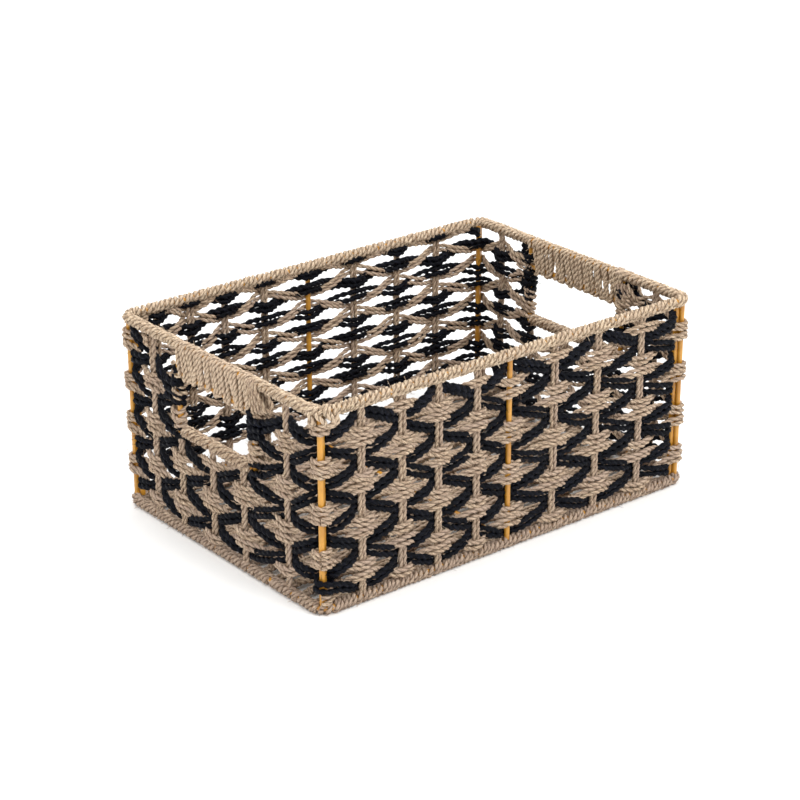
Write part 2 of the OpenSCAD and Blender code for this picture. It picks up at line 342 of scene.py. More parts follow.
def cord_tree() -> bpy.types.NodeTree:
    """Builds the tree that spins each path into a two-ply twisted cord.

    Returns:
        A tree with inputs for the cord's radius, twist, ring spacing and section.
    """
    tree, given = new_tree("Two-ply seagrass cord", (
        ("Cord Radius", "Float", 1.7 * MM), ("Twist Length", "Float", 9 * MM),
        ("Ring Spacing", "Float", 1.6 * MM), ("Ply Depth", "Float", 0.3),
        ("Fibre Roughness", "Float", 0.25 * MM), ("Section Points", "Int", 10)))
    line = add_node(tree, "GeometryNodeMeshToCurve", links={"Mesh": given["Geometry"]})
    rings = add_node(tree, "GeometryNodeResampleCurve", {"mode": "LENGTH"},
                     {"Curve": line, "Length": given["Ring Spacing"]})
    along = add_node(tree, "GeometryNodeSplineParameter").outputs["Length"]
    tint, thick = (add_node(tree, "GeometryNodeInputNamedAttribute",
                            {"data_type": "FLOAT", "Name": name}) for name in ("tint", "thick"))

    # Each cord starts its twist elsewhere, so that neighbours never match.
    turns = add_node(tree, MATH, {"operation": "DIVIDE"}, {0: along, 1: given["Twist Length"]})
    start = add_node(tree, MATH, {"operation": "MULTIPLY", 1: 7.0}, {0: tint})
    twist = add_node(tree, MATH, {"operation": "ADD"}, {0: turns, 1: start})
    tilt = add_node(tree, MATH, {"operation": "MULTIPLY", 1: TAU}, {0: twist})
    tilted = add_node(tree, "GeometryNodeSetCurveTilt", links={"Curve": rings, "Tilt": tilt})
    stored = add_node(tree, "GeometryNodeStoreNamedAttribute",
                      {"data_type": "FLOAT", "domain": "POINT", "Name": "along"},
                      {"Geometry": tilted, "Value": along})

    # Two plies side by side: a circle drawn in at its waist.
    circle = add_node(tree, "GeometryNodeCurvePrimitiveCircle", {"Radius": 1.0},
                      {"Resolution": given["Section Points"]})
    index = add_node(tree, "GeometryNodeInputIndex")
    step = add_node(tree, MATH, {"operation": "DIVIDE"}, {0: index, 1: given["Section Points"]})
    turn = add_node(tree, MATH, {"operation": "MULTIPLY", 1: TAU}, {0: step})
    cosine = add_node(tree, MATH, {"operation": "COSINE"}, {0: turn})
    sine = add_node(tree, MATH, {"operation": "SINE"}, {0: turn})
    waist = add_node(tree, MATH, {"operation": "POWER", 1: 2.0}, {0: sine})
    notch = add_node(tree, MATH, {"operation": "MULTIPLY"}, {0: waist, 1: given["Ply Depth"]})
    bulge = add_node(tree, MATH, {"operation": "SUBTRACT", 0: 1.0}, {1: notch})
    reach = add_node(tree, MATH, {"operation": "MULTIPLY"}, {0: bulge, 1: given["Cord Radius"]})
    across, up = (add_node(tree, MATH, {"operation": "MULTIPLY"}, {0: way, 1: reach})
                  for way in (cosine, sine))
    rim_point = add_node(tree, "ShaderNodeCombineXYZ", links={"X": across, "Y": up})
    shaped = add_node(tree, "GeometryNodeSetPosition",
                      links={"Geometry": circle, "Position": rim_point})
    turned = add_node(tree, "ShaderNodeCombineXYZ", links={"X": cosine, "Y": sine})
    section = add_node(tree, "GeometryNodeStoreNamedAttribute",
                       {"data_type": "FLOAT_VECTOR", "domain": "POINT", "Name": "round"},
                       {"Geometry": shaped, "Value": turned})
    swept = add_node(tree, "GeometryNodeCurveToMesh", {"Fill Caps": True},
                     {"Curve": stored, "Profile Curve": section, "Scale": thick})

    # Leaf edges stand up every 2.4 mm or so.
    place = add_node(tree, "GeometryNodeInputPosition")
    noise = add_node(tree, "ShaderNodeTexNoise", {"Scale": 0.42 / MM, "Detail": 1.0},
                     {"Vector": place})
    centred = add_node(tree, MATH, {"operation": "SUBTRACT", 1: 0.5}, {0: noise})
    push = add_node(tree, MATH, {"operation": "MULTIPLY"},
                    {0: centred, 1: given["Fibre Roughness"]})
    normal = add_node(tree, "GeometryNodeInputNormal")
    offset = add_node(tree, "ShaderNodeVectorMath", {"operation": "SCALE"},
                      {0: normal, "Scale": push})
    rough = add_node(tree, "GeometryNodeSetPosition",
                     links={"Geometry": swept, "Offset": offset})
    smooth = add_node(tree, "GeometryNodeSetShadeSmooth", links={"Geometry": rough})
    real = add_node(tree, "GeometryNodeRealizeInstances", links={0: smooth})
    dressed = add_node(tree, "GeometryNodeSetMaterial",
                       links={"Geometry": real, "Material": given["Material"]})
    add_node(tree, "NodeGroupOutput", links={0: dressed})
    return tree


def fibre_tree() -> bpy.types.NodeTree:
    """Builds the tree that lets loose fibres stand off a cord.

    Returns:
        A tree with inputs for how many fibres there are, how long, and their material.
    """
    tree, given = new_tree("Loose fibres", (
        ("Fibres Per Square Metre", "Float", 9000.0), ("Fibre Length", "Float", 3.8 * MM),
        ("Fibre Radius", "Float", 0.11 * MM), ("Seed", "Int", 1)))
    seed = given["Seed"]
    spots = add_node(tree, "GeometryNodeDistributePointsOnFaces", links={
        "Mesh": given["Geometry"], "Density": given["Fibres Per Square Metre"], "Seed": seed})
    arc = add_node(tree, "GeometryNodeCurveQuadraticBezier", {
        "Resolution": 4, "Start": (0, 0, 0), "Middle": (0.55, 0.0, 0.12),
        "End": (1.0, 0.22, 0.42)})
    spread = add_node(tree, "ShaderNodeCombineXYZ", links={
        axis: given["Fibre Length"] for axis in "XYZ"})
    long_arc = add_node(tree, "GeometryNodeTransform", links={"Geometry": arc, "Scale": spread})
    round_section = add_node(tree, "GeometryNodeCurvePrimitiveCircle", {"Resolution": 3},
                             {"Radius": given["Fibre Radius"]})
    hair = add_node(tree, "GeometryNodeCurveToMesh", {"Fill Caps": True},
                    {"Curve": long_arc, "Profile Curve": round_section})

    # Fibres lie almost flat on the cord, whichever way they point.
    spin = add_node(tree, "FunctionNodeRandomValue", {
        "data_type": "FLOAT_VECTOR", 0: (-0.25, -0.45, -math.pi), 1: (0.25, 0.25, math.pi)},
        {"Seed": seed})
    swing = add_node(tree, "FunctionNodeEulerToRotation", links={0: spin})
    turn = add_node(tree, "FunctionNodeRotateRotation", {"rotation_space": "LOCAL"},
                    {0: spots.outputs["Rotation"], 1: swing})
    size = add_node(tree, "FunctionNodeRandomValue", {"data_type": "FLOAT", 2: 0.5, 3: 1.4},
                    {"Seed": seed})
    planted = add_node(tree, "GeometryNodeInstanceOnPoints", links={
        "Points": spots, "Instance": hair, "Rotation": turn, "Scale": size.outputs[1]})
    real = add_node(tree, "GeometryNodeRealizeInstances", links={0: planted})

    # No fibre goes through what the basket stands on.
    place = add_node(tree, "GeometryNodeInputPosition")
    above = add_node(tree, "ShaderNodeVectorMath",
                     {"operation": "MAXIMUM", 1: (-1.0, -1.0, 0.3 * MM)}, {0: place})
    kept = add_node(tree, "GeometryNodeSetPosition", links={"Geometry": real, "Position": above})
    dressed = add_node(tree, "GeometryNodeSetMaterial",
                       links={"Geometry": kept, "Material": given["Material"]})
    joined = add_node(tree, "GeometryNodeJoinGeometry", links={0: dressed})
    tree.links.new(given["Geometry"], joined.inputs[0])
    add_node(tree, "NodeGroupOutput", links={0: joined})
    return tree


# Finishes ---------------------------------------------------------------------------------


def blank_material(name: str) -> bpy.types.Material:
    """Makes a material with an empty node tree."""
    made = bpy.data.materials.new(name)
    made.use_nodes = True
    made.node_tree.nodes.clear()
    return made


@dataclass(frozen=True)
class SeagrassFinish:
    """Dry or dyed seagrass, whose leaves show as streaks along each ply.

    A leaf's fibres are flat and run with the twist, so a cord looks finely streaked
    rather than smooth. Its streaks carry painted shade in their low bands and painted
    highlight on their raised ones, over the leaf's own paler and darker fibres, and the
    groove between its plies is painted nearly black as shade.
    """

    name: str
    # Streak colours, darkest first: the groove shade and dark bands are partly painted shade,
    # the pale band partly painted highlight.
    groove_shade: str
    dark: str
    middle: str
    pale_and_highlight: str
    odd: str
    roughness: float
    gloss: float = 0.5
    bump: float = 0.35
    # Noise cells to a cord's radius, which makes streaks 0.4 to 0.55 mm wide, and the
    # millimetres of cord that hold as many, which makes them about 2 mm long. Real
    # fibres are finer, and would not show.
    streaks: float = 4.2
    streak_run: float = 9.0

    def material(self) -> bpy.types.Material:
        """Builds the streaked cord material.

        Returns:
            A material that reads the cord's own "round", "along" and "tint" attributes.
        """
        made = blank_material(self.name)
        tree = made.node_tree
        rounds, along, tint = (add_node(tree, "ShaderNodeAttribute", {"attribute_name": name})
                               for name in ("round", "along", "tint"))
        split = add_node(tree, "ShaderNodeSeparateXYZ", links={0: rounds.outputs["Vector"]})
        run = add_node(tree, MATH, {"operation": "MULTIPLY", 1: 1 / (self.streak_run * MM)},
                       {0: along.outputs["Fac"]})
        # Each cord reads its own stretch of the noise.
        shifted = add_node(tree, MATH, {"operation": "MULTIPLY_ADD", 1: 37.0},
                           {0: tint.outputs["Fac"], 2: run})
        where = add_node(tree, "ShaderNodeCombineXYZ", links={
            "X": split.outputs[0], "Y": split.outputs[1], "Z": shifted})
        streaks = add_node(tree, "ShaderNodeTexNoise",
                           {"Scale": self.streaks, "Detail": 5.0, "Roughness": 0.65},
                           {"Vector": where})
        # Painted shade and highlight: the noise that colours the streaks also raises them in the
        # bump below. Low streaks get the groove shade and dark colours, raised ones the pale
        # highlight colour, over the leaf's own paler and darker fibres.
        ramp = add_node(tree, "ShaderNodeValToRGB", links={0: streaks})
        steps = ((0.30, self.groove_shade), (0.42, self.dark), (0.52, self.middle), (0.68, self.pale_and_highlight))
        bands = ramp.color_ramp.elements
        while len(bands) < len(steps):
            bands.new(0.5)
        for band, (spot, colour) in zip(bands, steps):
            band.position = spot
            band.color = linear(colour)

        # Each cord is a little greyer or yellower than the next, in patches of some 26 mm.
        patches = add_node(tree, "ShaderNodeTexCoord")
        cloud = add_node(tree, "ShaderNodeTexNoise", {"Scale": 0.038 / MM, "Detail": 2.0},
                         {"Vector": patches.outputs["Object"]})
        blend = add_node(tree, MATH, {"operation": "MULTIPLY_ADD", 1: 0.55},
                         {0: tint.outputs["Fac"], 2: cloud})
        amount = add_node(tree, "ShaderNodeMapRange",
                          {"From Min": 0.55, "From Max": 1.1, "To Min": 0.0, "To Max": 0.55},
                          {"Value": blend})
        mixed = add_node(tree, "ShaderNodeMix", {
            "data_type": "RGBA", "blend_type": "MIX", 7: linear(self.odd)},
            {"Factor": amount, 6: ramp})

        # Painted shade: the groove between the two plies is darkened towards the groove shade
        # colour.
        waist = add_node(tree, MATH, {"operation": "ABSOLUTE"}, {0: split})
        shade = add_node(tree, "ShaderNodeMapRange",
                         {"From Min": 0.0, "From Max": 0.6, "To Min": 0.8, "To Max": 0.0},
                         {"Value": waist})
        groove_shaded = add_node(tree, "ShaderNodeMix", {
            "data_type": "RGBA", "blend_type": "MIX", 7: linear(self.groove_shade)},
            {"Factor": shade, 6: mixed.outputs[2]})
        ridges = add_node(tree, "ShaderNodeBump", {"Strength": self.bump, "Distance": 0.6 * MM},
                          {"Height": streaks})
        shader = add_node(tree, "ShaderNodeBsdfPrincipled", {
            "Roughness": self.roughness, "IOR": 1.45, "Specular IOR Level": self.gloss},
            {"Base Color": groove_shaded.outputs[2], "Normal": ridges})
        add_node(tree, "ShaderNodeOutputMaterial", links={0: shader})
        return made


@dataclass(frozen=True)
class LacquerFinish:
    """Semi-gloss ochre lacquer dipped on bent steel wire.

    It looks warm and even, with soft highlights, and a little deeper where it ran.
    """

    name: str = "Ochre lacquer on steel wire"
    lit: str = "#c98f2c"
    deep: str = "#ad741c"

    def material(self) -> bpy.types.Material:
        """Builds the lacquer, with the slow change of tone that dipping leaves.

        Returns:
            A material that reads Object coordinates.
        """
        made = blank_material(self.name)
        tree = made.node_tree
        where = add_node(tree, "ShaderNodeTexCoord").outputs["Object"]
        # Runs of lacquer are some 11 mm long, and the coat's own grain 0.7 mm.
        drift = add_node(tree, "ShaderNodeTexNoise", {"Scale": 0.09 / MM, "Detail": 3.0},
                         {"Vector": where})
        ramp = add_node(tree, "ShaderNodeValToRGB", links={0: drift})
        for band, spot, colour in zip(ramp.color_ramp.elements, (0.35, 0.6),
                                      (self.deep, self.lit)):
            band.position = spot
            band.color = linear(colour)
        grain = add_node(tree, "ShaderNodeTexNoise", {"Scale": 1.5 / MM, "Detail": 2.0},
                         {"Vector": where})
        skin = add_node(tree, "ShaderNodeBump", {"Strength": 0.12, "Distance": 0.1 * MM},
                        {"Height": grain})
        shader = add_node(tree, "ShaderNodeBsdfPrincipled", {
            "Roughness": 0.38, "IOR": 1.5, "Coat Weight": 0.3, "Coat Roughness": 0.2},
            {"Base Color": ramp, "Normal": skin})
        add_node(tree, "ShaderNodeOutputMaterial", links={0: shader})
        return made


# Dull straw-coloured leaf with brown shadow between its fibres.
NATURAL = SeagrassFinish(
    "Dry twisted seagrass", groove_shade="#38271c", dark="#8a705c", middle="#c1a88e",
    pale_and_highlight="#f6e5c6", odd="#b09a8c", roughness=0.7, gloss=0.3)
# The same leaf in paler, creamier colours, for the top rim and grips; the foot and sills take
# the greyer natural finish as painted shade.
RIM = SeagrassFinish(
    "Dry seagrass wound on the rims", groove_shade="#3c291b", dark="#917863", middle="#d2ba9c",
    pale_and_highlight="#fdf0d6", odd="#c4ad97", roughness=0.7, gloss=0.3)
# Dye leaves near black leaf, whose raised edges catch the light in blue-grey streaks.
BLACK = SeagrassFinish(
    "Black dyed seagrass", groove_shade="#010102", dark="#05060a", middle="#0b0d15",
    pale_and_highlight="#242838", odd="#07080e", roughness=0.34, gloss=0.12, bump=1.0)


# Cord workshop ----------------------------------------------------------------------------


class CordGrade(Enum):
    """Cord sizes: radius, twist length, ring spacing in mm, section points, ply depth."""

    WEFT = (1.85, 12.0, 1.7, 10, 0.36)
    DYED = (2.3, 11.0, 1.7, 10, 0.36)
    WARP = (1.8, 11.0, 1.7, 10, 0.34)
    WRAP = (1.82, 9.0, 1.6, 8, 0.22)
    GRIP = (1.75, 7.5, 1.6, 8, 0.36)
    FLOOR = (1.9, 10.0, 3.0, 8, 0.25)


@dataclass
class Workshop:
    """Spins cords, dresses them and hands them to the frame."""

    rng: np.random.Generator
    cords: bpy.types.NodeTree = field(default_factory=cord_tree)
    fibres: bpy.types.NodeTree = field(default_factory=fibre_tree)
    pieces: int = 0

    def spin(self, name: str, strands: list[Strand], grade: CordGrade,
             material: bpy.types.Material, slot: str, nodes: list[str],
             fibre_density: float = 9000.0) -> bpy.types.Object:
        """Makes one piece of cords from their paths.

        Args:
            name: Name of the piece.
            strands: The cords' paths.
            grade: Size of the cord.
            material: Its finish.
            slot: Name of the piece's material slot; not used.
            nodes: CAD nodes that the piece stands for.
            fibre_density: Loose fibres for each square metre of cord.

        Returns:
            The finished piece.
        """
        radius, twist, spacing, points, depth = grade.value
        self.pieces += 1
        obj = wire_object(name, strands, self.rng)
        trees = [(self.cords, {
            "Cord Radius": radius * MM, "Twist Length": twist * MM, "Ring Spacing": spacing * MM,
            "Ply Depth": depth, "Section Points": points, "Material": material})]
        if fibre_density:
            trees.append((self.fibres, {
                "Fibres Per Square Metre": fibre_density, "Seed": self.pieces,
                "Material": material}))
        apply_trees(obj, trees)
        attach(obj, "root")
        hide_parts(*nodes)
        log.info("%s: %d cords, %d faces", name, len(strands), len(obj.data.polygons))
        return obj

    def drift(self, count: int, size: float, step: float = 6.0) -> np.ndarray:
        """Smooth random wandering, as hand work leaves.

        Args:
            count: Number of values.
            size: Largest likely value.
            step: How many values lie between two changes of direction.

        Returns:
            The wandering, one value for each point.
        """
        knots = self.rng.normal(0, size / 2, max(2, int(count / step) + 2))
        at = np.linspace(0, len(knots) - 1, count)
        low = np.minimum(at.astype(int), len(knots) - 2)
        part = at - low
        ease = part * part * (3 - 2 * part)
        return knots[low] * (1 - ease) + knots[low + 1] * ease


# Walls ------------------------------------------------------------------------------------


@dataclass(frozen=True)
class Upright:
    """One place round the basket where the courses change their swing."""

    side: Side
    along: float
    number: int


class Colour(Enum):
    """The two kinds of weft: natural lies outside at an upright, black inside."""

    NATURAL = 1
    BLACK = -1



# Handle post (0 is the front one) and the heights between which cord is wound on it.
WINDINGS = {
    Colour.NATURAL: ((Side.LEFT, 0, 86, 99), (Side.LEFT, 1, 101, 110),
                     (Side.RIGHT, 0, 101, 122), (Side.RIGHT, 1, 94, 102)),
    Colour.BLACK: ((Side.LEFT, 0, 101, 122), (Side.LEFT, 1, 111, 122),
                   (Side.RIGHT, 0, 88, 100), (Side.RIGHT, 1, 104, 120)),
}
# A loop over the rim, down outside and back up inside: along, outwards and up.
FAN_LOOP = ((0.0, -2.9, 0.0), (0.0, 0.0, 3.0), (1.0, 3.6, 1.0), (6.0, 4.3, -8.0),
            (11.0, 3.4, -17.0), (12.0, 0.0, -20.0), (10.0, -2.6, -16.0), (3.0, -3.2, -6.0))


@dataclass
class Lashings:
    """Cord ends wound round the handle posts, and fanned out past the front ones."""

    wires: WireFrame
    shop: Workshop
    clearance: float = 1.7
    pitch: float = 4.0
    turn_step: float = 0.08
    fan_loops: int = 4
    fan_pitch: float = 2.6
    fan_start: float = -4.0
    fan_points: int = 36

    def strands(self, colour: Colour) -> list[Strand]:
        """All lashings of one colour: black cords have no fan."""
        return self.windings(colour) + (self.fans() if colour is Colour.NATURAL else [])

    def windings(self, colour: Colour) -> list[Strand]:
        """Winds cord ends round each handle post.

        Args:
            colour: Which kind of cord.

        Returns:
            One strand for each post.
        """
        reach = self.wires.wire_radius + self.clearance
        strands = []
        for side, end, low, high in WINDINGS[colour]:
            far = self.wires.post_distance(side, end)
            turn = np.arange(0, (high - low) / self.pitch, self.turn_step)
            swell = reach * (1 + self.shop.drift(len(turn), 0.25, 8))
            rise = low + self.pitch * turn + self.shop.drift(len(turn), 1.5, 8)
            strands.append(Strand(self.wires.place(
                far + swell * np.cos(TAU * turn), swell * np.sin(TAU * turn), rise)))
        return strands

    def fans(self) -> list[Strand]:
        """Loops natural cord ends over the rim, ever wider, past the front posts."""
        path = np.array(FAN_LOOP)
        fine = np.linspace(0, len(path) - 1, self.fan_points)
        along, out, up = (np.interp(fine, np.arange(len(path)), axis) for axis in path.T)
        strands = []
        for side, way in ((Side.LEFT, 1), (Side.RIGHT, -1)):
            far = self.wires.post_distance(side, 0)
            for i in range(self.fan_loops):
                wide = along * (0.7 + 0.16 * i) + self.fan_pitch * i + self.fan_start
                depth = out + self.shop.drift(self.fan_points, 0.4, 8)
                rise = self.wires.rim_height + up * (1.1 - 0.1 * i)
                strands.append(Strand(self.wires.place(far + way * wide, depth, rise)))
        return strands


@dataclass
class Walls:
    """Upright cords and twined courses of the four walls.

    Each course is a pair of natural and a pair of black cords. Natural cords pass outside
    the uprights, and black ones outside the spaces between them, where the pairs cross.
    """

    wires: WireFrame
    shop: Workshop
    front_warps: tuple[float, ...] = (-127.5, -94.5, -64.5, -32.0, 36.0, 75.5, 116.5)
    back_warps: tuple[float, ...] = (-134.0, -106.0, -77.0, -43.0, 37.5, 78.0, 116.0)
    left_warps: tuple[float, ...] = (-75.0, -27.5, 7.5, 44.0, 75.0)
    right_warps: tuple[float, ...] = (-79.0, -26.0, 12.0, 50.5, 84.0)
    warp_half_gap: float = 1.5
    # Courses, counted up from the foot, and where the hand openings interrupt them.
    course_pitch: float = 15.6
    right_opening: int = 4
    left_opening: int = 5
    front_top: int = 7
    back_top: int = 8
    # Uprights after a short wall's first corner that its handle posts stand in for.
    first_post: int = 2
    last_post: int = 4
    # How far a pair swings up or down, and how far it stands out or in.
    natural_swing: float = 4.4
    black_swing_near: float = 5.0
    black_swing_far: float = 3.4
    black_top_swing: float = 7.5
    outer: float = 2.8
    inner: float = 1.5
    corner_bulge: float = 0.8
    corner_cut: float = 7.0
    first_corner: float = -3.8
    corner_grip: float = 4.0
    # How long a black pair stays outside, and how straight it runs from swing to swing.
    hold: float = 0.3
    taut: float = 0.8
    natural_gap: float = 3.6
    black_gap: float = 4.3
    thick_black: float = 1.2
    # How far the courses hang below the front wall's.
    back_sag: float = 3.0
    left_end_sag: float = 8.0
    left_mid_sag: float = 15.6
    # Room left under the rim and over the foot, and how soft its limits are.
    rim_clearance: float = 4.5
    rim_give: float = 0.25
    foot_clearance: float = 7.5
    foot_give: float = 0.4
    # A cord's end round a handle post and behind the wall.
    turn_slack: float = 0.2
    tail_step: float = 2.4
    tail_points: int = 5
    upper_climb: float = 5.5
    lower_climb: float = 4.5
    point_step: float = 2.2
    uprights: list[Upright] = field(init=False)

    def __post_init__(self) -> None:
        """Numbers the uprights round the basket from the front left corner."""
        places: list[tuple[Side, float]] = []
        for side, warps in self.warps.items():
            post = (self.wires.middle_post,) if side in (Side.FRONT, Side.BACK) else ()
            places.append((side, 0.0))
            places += [(side, along) for along in
                       sorted(self.wires.along(side, stop) for stop in warps + post)]
        self.uprights = [Upright(side, along, i) for i, (side, along) in enumerate(places)]

    @property
    def warps(self) -> dict[Side, tuple[float, ...]]:
        """Places of each wall's upright cords: x on a long wall, y on a short one."""
        return {Side.FRONT: self.front_warps, Side.RIGHT: self.right_warps,
                Side.BACK: self.back_warps, Side.LEFT: self.left_warps}

    def sag(self, side: Side, part: float) -> float:
        """How far a wall's courses hang below the front wall's.

        Args:
            side: The wall.
            part: Place along it, from 0 to 1.

        Returns:
            The sag, in millimetres.
        """
        if side is Side.FRONT:
            return 0.0
        if side is Side.RIGHT:
            return self.back_sag * part
        if side is Side.BACK:
            return self.back_sag + (self.left_end_sag - self.back_sag) * part ** 6
        ends = self.left_end_sag * 2 * (part - 0.5) * (part - 1)
        return ends + self.left_mid_sag * 4 * part * (1 - part)

    def course_height(self, side: Side, along: float, course: int) -> float:
        """Height of the middle of a course at a place on a wall."""
        part = along / self.wires.side_length(side)
        return self.course_pitch * (course + 1) - self.sag(side, part)

    def swing(self, stop: Upright, course: int, colour: Colour) -> float:
        """How far a pair swings up or down at an upright.

        Args:
            stop: The upright.
            course: Number of the course.
            colour: Which of the two pairs.

        Returns:
            The swing, in millimetres.
        """
        if colour is Colour.NATURAL:
            return self.natural_swing
        if course == self.front_top and stop.side is Side.FRONT and stop.number % 2:
            return self.black_top_swing
        near = stop.side in (Side.FRONT, Side.LEFT)
        return self.black_swing_near if near else self.black_swing_far

    def reach(self, stop: Upright, course: int, colour: Colour) -> float:
        """How far a pair lies out at an upright (black pairs: in).

        Args:
            stop: The upright.
            course: Number of the course.
            colour: Which of the two pairs.

        Returns:
            The distance from the wall's centre line, in millimetres.
        """
        if colour is Colour.NATURAL:
            return self.outer + (self.corner_bulge if stop.along == 0 else 0.0)
        if course == 0 and stop.number == 0:
            return self.first_corner
        return self.corner_cut if stop.along == 0 else self.outer

    def pair_route(self, stops: list[Upright], course: int,
                   colour: Colour) -> tuple[np.ndarray, np.ndarray, np.ndarray]:
        """Middle line of a pair of cords in one stretch of a course.

        Args:
            stops: Uprights from the start to the end of the stretch.
            course: Number of the course.
            colour: Which of the two pairs.

        Returns:
            Distances round the basket, distances outwards and heights.
        """
        way = colour.value
        at, height = [], []
        for stop in stops:
            far = self.wires.distance(stop.side, stop.along)
            if at and far < at[-1]:
                far += self.wires.round_length
            at.append(far)
            up = 1 if (stop.number + course) % 2 else -1
            lift = self.shop.rng.normal(0, 0.5)
            level = self.course_height(stop.side, stop.along, course)
            height.append(level + way * up * self.swing(stop, course, colour) + lift)
        reaches = [self.reach(stop, course, colour) for stop in stops]
        corners = [stop.along == 0 for stop in stops]
        rows = []
        for i in range(len(at) - 1):
            stride = at[i + 1] - at[i]
            count = max(8, int(stride / self.point_step))
            part = np.arange(count) / count
            first = part < 0.5
            change = 0.5 + 0.5 * np.cos(TAU * part)
            ease = 0.5 - 0.5 * np.cos(math.pi * part)
            if colour is Colour.BLACK:
                change = np.clip((change - self.hold) / (1 - self.hold), 0, 1)
                ease = (1 - self.taut) * ease + self.taut * part
            else:
                tight = np.where(first, corners[i], corners[i + 1])
                change = np.where(tight, change ** self.corner_grip, change)
            reach = np.where(first, reaches[i], reaches[i + 1])
            rows.append(np.column_stack([
                at[i] + stride * part, way * (-self.inner + (reach + self.inner) * change),
                height[i] + (height[i + 1] - height[i]) * ease]))
        rows.append(np.array([[at[-1], way * reaches[-1], height[-1]]]))
        distance, out, level = np.vstack(rows).T
        return distance, out, level

    def course_path(self, stops: list[Upright], course: int, colour: Colour,
                    around_start: bool, around_end: bool) -> list[Strand]:
        """Paths of the two cords of one colour in one stretch of a course.

        Args:
            stops: Uprights from the start to the end of the stretch.
            course: Number of the course, counted up from the foot.
            colour: Which of the two pairs.
            around_start: The cords turn back round the first upright.
            around_end: The cords turn back round the last upright.

        Returns:
            Two strands, one above the other.
        """
        distance, out, level = self.pair_route(stops, course, colour)
        gap = self.natural_gap if colour is Colour.NATURAL else self.black_gap
        thick = course == self.front_top and colour is Colour.BLACK
        top, foot = self.wires.rim_height - self.rim_clearance, self.foot_clearance
        strands = []
        for row in (-0.5, 0.5):
            jitter = self.shop.drift(len(distance), 0.9)
            offset = out + self.shop.drift(len(distance), 0.35)
            rise = level + row * gap + jitter
            rise = np.minimum(rise, top + self.rim_give * (rise - top))
            rise = np.maximum(rise, foot + self.foot_give * (rise - foot))
            points = self.wires.place(distance, offset, rise)
            for flag, end in ((around_start, 0), (around_end, -1)):
                if flag:
                    points = self.turn_back(points, distance[end], offset[end], rise[end],
                                            end, row)
            size = self.thick_black if thick else 1.0
            strands.append(Strand(points, size + self.shop.rng.normal(0, 0.05)))
        return strands

    def turn_back(self, points: np.ndarray, far: float, out: float, rise: float,
                  end: int, row: float) -> np.ndarray:
        """Takes a cord round a handle post and tucks its end behind the wall.

        Args:
            points: The cord's points so far.
            far: Distance round the basket of the post.
            out: How far the cord lies outwards there.
            rise: Its height there.
            end: 0 for the path's first point, -1 for its last.
            row: -0.5 for the lower cord of the pair, 0.5 for the upper.

        Returns:
            The path with the turn added.
        """
        way = 1 if end == -1 else -1
        side = math.copysign(1, out)
        reach = abs(out) + self.turn_slack
        angle = np.linspace(0, math.pi, 9)[1:]
        tail = self.tail_step * np.arange(1, self.tail_points + 1)
        turn_far = np.concatenate([far + way * reach * np.sin(angle), far - way * tail])
        turn_out = np.concatenate([side * reach * np.cos(angle),
                                   np.full(self.tail_points, -side * reach)])
        climb = self.upper_climb if row > 0 else self.lower_climb
        turn_rise = rise + np.linspace(0, 1, len(turn_far)) * climb
        turn = self.wires.place(turn_far, turn_out, turn_rise)
        return np.vstack([points, turn]) if end == -1 else np.vstack([turn[::-1], points])

    def stretch(self, first: int, last: int) -> list[Upright]:
        """Uprights from one number to another, on past the front left corner.

        Args:
            first: Number of the first upright.
            last: Number of the last, which goes on counting after a full round.

        Returns:
            The uprights, numbered from the first to the last.
        """
        found = [(self.uprights[i % len(self.uprights)], i) for i in range(first, last + 1)]
        return [Upright(upright.side, upright.along, i) for upright, i in found]

    def corner(self, side: Side) -> int:
        """Number of the upright at a wall's first corner."""
        return next(upright.number for upright in self.uprights if upright.side is side)

    def post(self, side: Side, end: int, after: int, laps: int = 0) -> Upright:
        """A handle post as an upright of its wall.

        Args:
            side: The short wall.
            end: 0 for its front post, 1 for its back one.
            after: How many uprights after the wall's first corner it counts.
            laps: Full rounds made before it.

        Returns:
            The post as an upright.
        """
        along = self.wires.along(side, self.wires.posts[side][end])
        return Upright(side, along, self.corner(side) + after + laps * len(self.uprights))

    def between(self, start: Upright, end: Upright, course: int,
                colour: Colour) -> list[Strand]:
        """Cords that run from one handle post to another and turn back round both.

        Args:
            start: The post where they start.
            end: The post where they end.
            course: Number of the course.
            colour: Which of the two pairs.

        Returns:
            The two cords.
        """
        stops = [start, *self.stretch(start.number + 1, end.number - 1), end]
        return self.course_path(stops, course, colour, True, True)

    def course(self, course: int, colour: Colour) -> list[Strand]:
        """All cords of one colour in one course, in as many stretches as it has.

        Args:
            course: Number of the course.
            colour: Which of the two pairs.

        Returns:
            The cords.
        """
        back, left = self.corner(Side.BACK), self.corner(Side.LEFT)
        if course == 0:
            front_and_right = self.stretch(0, back)
            return self.course_path(front_and_right, 0, colour, colour is Colour.BLACK, False)
        if course == self.back_top:
            return self.course_path(self.stretch(back, left + 1), course, colour, False, False)
        if course < self.right_opening:
            ring = self.stretch(0, len(self.uprights))
            return self.course_path(ring, course, colour, False, False)
        right_back = self.post(Side.RIGHT, 1, self.last_post)
        right_front = self.post(Side.RIGHT, 0, self.first_post, laps=1)
        if course < self.left_opening:
            return self.between(right_back, right_front, course, colour)
        left_back = self.post(Side.LEFT, 1, self.first_post)
        left_front = self.post(Side.LEFT, 0, self.last_post)
        return (self.between(left_front, right_front, course, colour)
                + self.between(right_back, left_back, course, colour))

